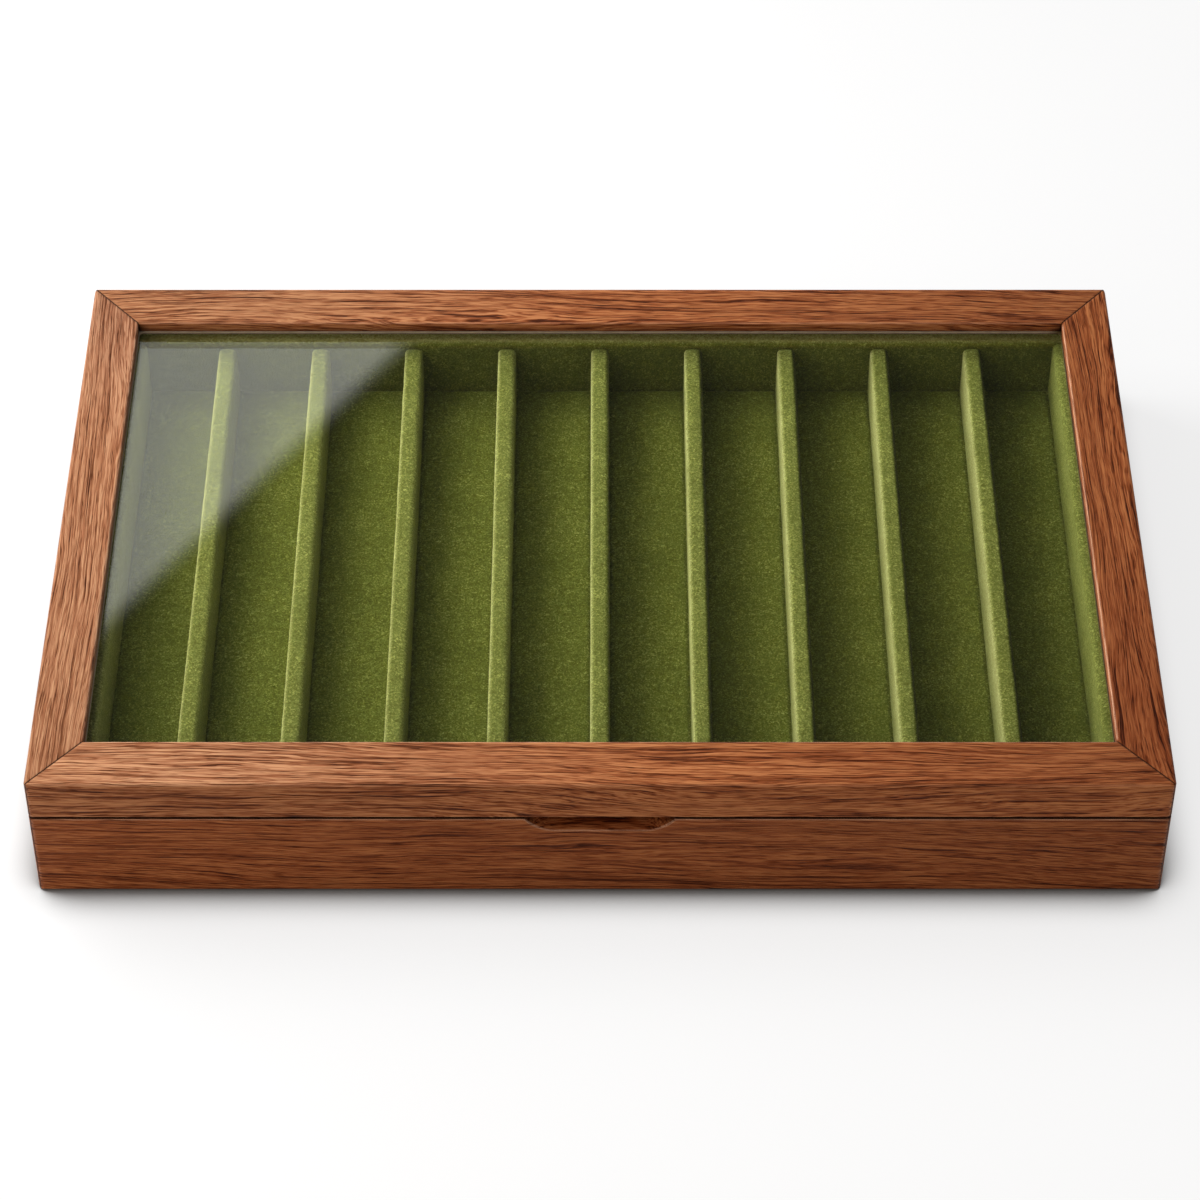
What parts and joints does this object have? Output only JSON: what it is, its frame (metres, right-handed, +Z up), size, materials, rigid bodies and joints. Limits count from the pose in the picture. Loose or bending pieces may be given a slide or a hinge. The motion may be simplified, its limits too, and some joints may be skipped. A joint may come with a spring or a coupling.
{
  "type": "glass jewelry box",
  "caption": "Flat walnut jewelry box with narrow velvet compartments under a hinged, framed glass lid with a finger notch at the front.",
  "frame": {"origin": "centre of the closed box's footprint, on the plane that its feet stand on", "axes": "+X to the right along the width, +Y from the front (finger notch) to the back (hinges), +Z up"},
  "size_m": [0.36, 0.24, 0.05],
  "materials": {
    "walnut": "oiled, satin",
    "plywood": "sanded",
    "felt": "felted",
    "foam": "open-cell foam",
    "greyboard": "pressed board",
    "velvet": "short-pile velvet",
    "glass": "clear, polished",
    "seal": "silicone, matt",
    "brass": "satin"
  },
  "bodies": {
    "case": {"case_front_wall": "walnut", "case_back_wall": "walnut", "case_left_wall": "walnut", "case_right_wall": "walnut", "bottom_panel": "plywood", "foot_pads": "felt", "foam_bed": "foam", "insert_board": "greyboard", "floor_pad": "velvet", "lining_front": "velvet", "lining_back": "velvet", "lining_left": "velvet", "lining_right": "velvet", "divider_1": "velvet", "divider_2": "velvet", "divider_3": "velvet", "divider_4": "velvet", "divider_5": "velvet", "divider_6": "velvet", "divider_7": "velvet", "divider_8": "velvet", "divider_9": "velvet", "hinge_left_case_leaf": "brass", "hinge_right_case_leaf": "brass", "hinge_left_pin": "brass", "hinge_right_pin": "brass", "case_hinge_screws": "brass"},
    "lid": {"lid_front_rail": "walnut", "lid_back_rail": "walnut", "lid_left_rail": "walnut", "lid_right_rail": "walnut", "glass_panel": "glass", "glazing_seal": "seal", "glazing_bead_front": "walnut", "glazing_bead_back": "walnut", "glazing_bead_left": "walnut", "glazing_bead_right": "walnut", "glazing_brads": "brass", "hinge_left_lid_leaf": "brass", "hinge_right_lid_leaf": "brass", "lid_hinge_screws": "brass"}
  },
  "joints": [
    {"name": "lid_hinge", "type": "hinge", "parent": "case", "child": "lid", "pos_m": [0, 0.11725, 0.0352], "axis": [-1, 0, 0], "range_deg": [0, 93]}
  ]
}
